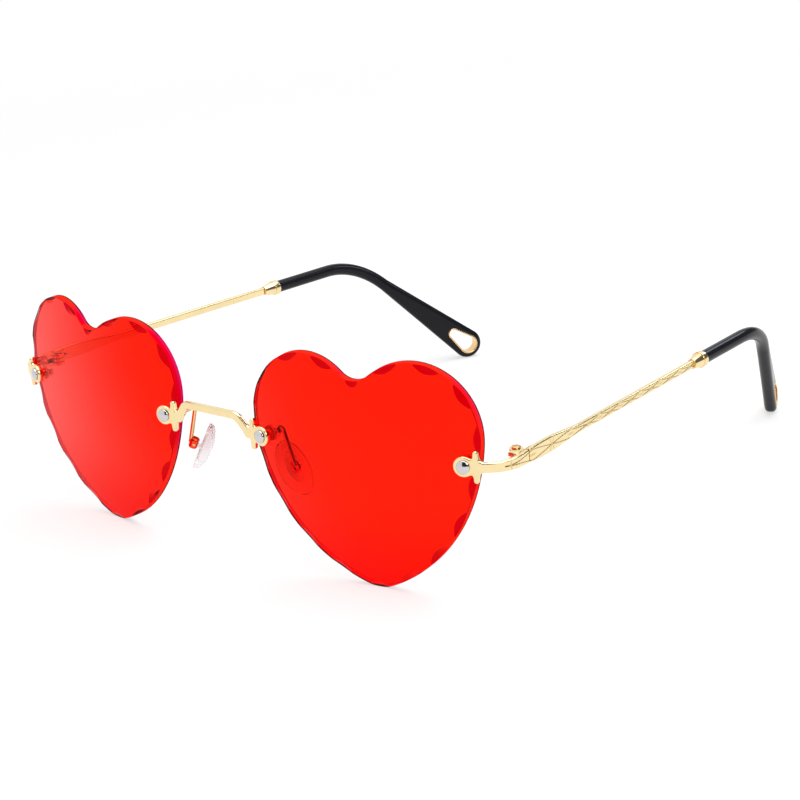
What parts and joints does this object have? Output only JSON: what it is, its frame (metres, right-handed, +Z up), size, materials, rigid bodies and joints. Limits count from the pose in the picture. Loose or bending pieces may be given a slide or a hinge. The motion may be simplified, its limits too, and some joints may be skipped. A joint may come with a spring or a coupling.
{
  "type": "heart shaped sunglasses",
  "caption": "Rimless sunglasses with tinted heart shaped lenses, gold metal bridge, folding temples and nose pads, worn to shade the eyes.",
  "frame": {"origin": "on the table, in the middle of the box around the open glasses", "axes": "+X to the wearer's left, -Y the way the lenses face, +Z up"},
  "size_m": [0.1492, 0.1508, 0.0524],
  "materials": {
    "tinted_lens": "polished",
    "gold": "polished",
    "silver": "polished",
    "black_plastic": "gloss",
    "clear_plastic": "clear",
    "silicone": "satin"
  },
  "bodies": {
    "front": {"bridge": "gold", "lens_left": "tinted_lens", "endpiece_left": "gold", "bridge_screw_left": "silver", "bridge_sleeve_left": "clear_plastic", "bridge_washer_left": "clear_plastic", "bridge_nut_left": "gold", "endpiece_screw_left": "silver", "endpiece_sleeve_left": "clear_plastic", "endpiece_washer_left": "clear_plastic", "endpiece_nut_left": "gold", "pad_arm_left": "gold", "pad_screw_left": "silver", "hinge_front_left": "gold", "hinge_screw_left": "silver", "lens_right": "tinted_lens", "endpiece_right": "gold", "bridge_screw_right": "silver", "bridge_sleeve_right": "clear_plastic", "bridge_washer_right": "clear_plastic", "bridge_nut_right": "gold", "endpiece_screw_right": "silver", "endpiece_sleeve_right": "clear_plastic", "endpiece_washer_right": "clear_plastic", "endpiece_nut_right": "gold", "pad_arm_right": "gold", "pad_screw_right": "silver", "hinge_front_right": "gold", "hinge_screw_right": "silver"},
    "left_temple": {"hinge_rear_left": "gold", "temple_left": "gold", "ferrule_left": "gold", "temple_tip_left": "black_plastic", "tip_eyelet_left": "gold"},
    "left_nose_pad": {"nose_pad_left": "silicone", "pad_insert_left": "clear_plastic"},
    "right_temple": {"hinge_rear_right": "gold", "temple_right": "gold", "ferrule_right": "gold", "temple_tip_right": "black_plastic", "tip_eyelet_right": "gold"},
    "right_nose_pad": {"nose_pad_right": "silicone", "pad_insert_right": "clear_plastic"}
  },
  "joints": [
    {"name": "left_temple_fold", "type": "hinge", "parent": "front", "child": "left_temple", "pos_m": [0.07098, -0.05589, 0.03169], "axis": [0, 0, 1], "range_deg": [0, 82]},
    {"name": "right_temple_fold", "type": "hinge", "parent": "front", "child": "right_temple", "pos_m": [-0.07098, -0.05589, 0.03169], "axis": [0, 0, -1], "range_deg": [0, 72]},
    {"name": "left_pad_rock", "type": "hinge", "parent": "front", "child": "left_nose_pad", "pos_m": [0.01594, -0.06511, 0.02215], "axis": [0.4777, 0.8275, 0.2951], "range_deg": [-8, 8]},
    {"name": "right_pad_rock", "type": "hinge", "parent": "front", "child": "right_nose_pad", "pos_m": [-0.01594, -0.06511, 0.02215], "axis": [-0.4777, 0.8275, 0.2951], "range_deg": [-8, 8]}
  ]
}
